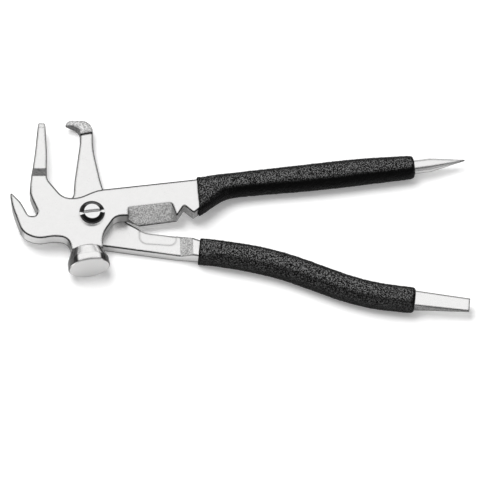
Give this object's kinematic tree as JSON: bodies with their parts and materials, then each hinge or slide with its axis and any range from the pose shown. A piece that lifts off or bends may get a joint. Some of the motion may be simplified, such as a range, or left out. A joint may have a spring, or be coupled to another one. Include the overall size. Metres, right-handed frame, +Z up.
{
  "type": "wheel weight pliers",
  "caption": "Hand pliers for clip-on wheel weights, with hook and prong jaws, a claw, a hammer head, a clip cutter, wire notches, dipped grips, a spike end and a pry blade end.",
  "frame": {"origin": "on the pivot axis, in the plane of the surface that the tool lies on, which is the back face of the rear forging", "axes": "+X along the tool from the jaws towards the handle ends, +Y across it towards the prong tips, +Z up out of the surface along the pivot screw towards its head"},
  "size_m": [0.2396, 0.1109, 0.0221],
  "materials": {
    "plated_steel": "forged steel with satin plating, rough on the ramps and bevels",
    "screw_steel": "polished",
    "grip_vinyl": "black dipped vinyl with a fine wrinkle"
  },
  "bodies": {
    "hammer_side": {"hammer_half": "plated_steel", "upper_grip": "grip_vinyl"},
    "hook_side": {"hook_half": "plated_steel", "lower_grip": "grip_vinyl", "pivot_screw": "screw_steel", "pivot_nut": "screw_steel", "pivot_washer": "screw_steel"}
  },
  "joints": [
    {"name": "jaw_pivot", "type": "hinge", "parent": "hammer_side", "child": "hook_side", "pos_m": [0, 0, 0.007], "axis": [0, 0, 1], "range_deg": [-24, 11]}
  ]
}
